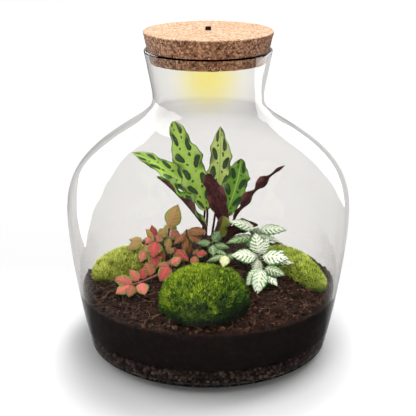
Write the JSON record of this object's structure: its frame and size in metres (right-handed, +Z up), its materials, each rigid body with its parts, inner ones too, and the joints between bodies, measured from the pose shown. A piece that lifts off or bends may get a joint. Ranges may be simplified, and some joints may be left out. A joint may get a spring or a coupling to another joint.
{
  "type": "planted glass terrarium",
  "caption": "Round-shouldered glass jar with a flared neck and a cork stopper lamp, planted with calathea, red and white fittonia and moss cushions on dark soil.",
  "frame": {"origin": "centre of the jar's flat base, on the surface that it stands on", "axes": "+Z up through the neck and the cork, -Y towards the side that the picture shows, +X to the right seen from there"},
  "size_m": [0.262, 0.262, 0.3028],
  "materials": {
    "glass": "clear, smooth",
    "cork": "ground and pressed cork, matte",
    "white_plastic": "matte white",
    "white_circuit_board": "satin white",
    "led": "yellow phosphor, lit",
    "brass": "plated",
    "battery_wrap": "shrink wrap",
    "green_circuit_board": "solder mask",
    "black_plastic": "glossy",
    "soil": "loose, fibrous, moist",
    "grains": "rough clay grains",
    "moss": "cushion of fine shoots",
    "calathea": "leaf: green with dark blotches over maroon",
    "red_fittonia": "leaf: pink to olive with green margin",
    "white_fittonia": "leaf: white with green net and margin",
    "centre_fittonia": "leaf: pale green"
  },
  "bodies": {
    "root": {"glass_jar": "glass", "cork_stopper": "cork", "lamp_plate": "white_plastic", "led_board": "white_circuit_board", "led_chip_1": "led", "led_chip_2": "led", "led_chip_3": "led", "led_chip_4": "led", "led_chip_5": "led", "plate_screw_1": "brass", "plate_screw_2": "brass", "plate_screw_3": "brass", "battery": "battery_wrap", "driver_board": "green_circuit_board", "lid_sensor": "black_plastic", "moss_front": "moss", "moss_left": "moss", "moss_right": "moss", "calathea_leaf_1": "calathea", "calathea_leaf_2": "calathea", "calathea_leaf_3": "calathea", "calathea_leaf_4": "calathea", "calathea_leaf_5": "calathea", "calathea_leaf_6": "calathea", "calathea_leaf_7": "calathea", "calathea_leaf_8": "calathea", "calathea_leaf_9": "calathea", "red_fittonia_1": "red_fittonia", "red_fittonia_2": "red_fittonia", "red_fittonia_3": "red_fittonia", "red_fittonia_4": "red_fittonia", "red_fittonia_5": "red_fittonia", "red_fittonia_6": "red_fittonia", "red_fittonia_7": "red_fittonia", "red_fittonia_8": "red_fittonia", "white_fittonia_1": "white_fittonia", "white_fittonia_2": "white_fittonia", "white_fittonia_3": "white_fittonia", "centre_fittonia_1": "centre_fittonia", "centre_fittonia_2": "centre_fittonia", "soil": "soil", "drainage_grains": "grains"}
  },
  "joints": []
}
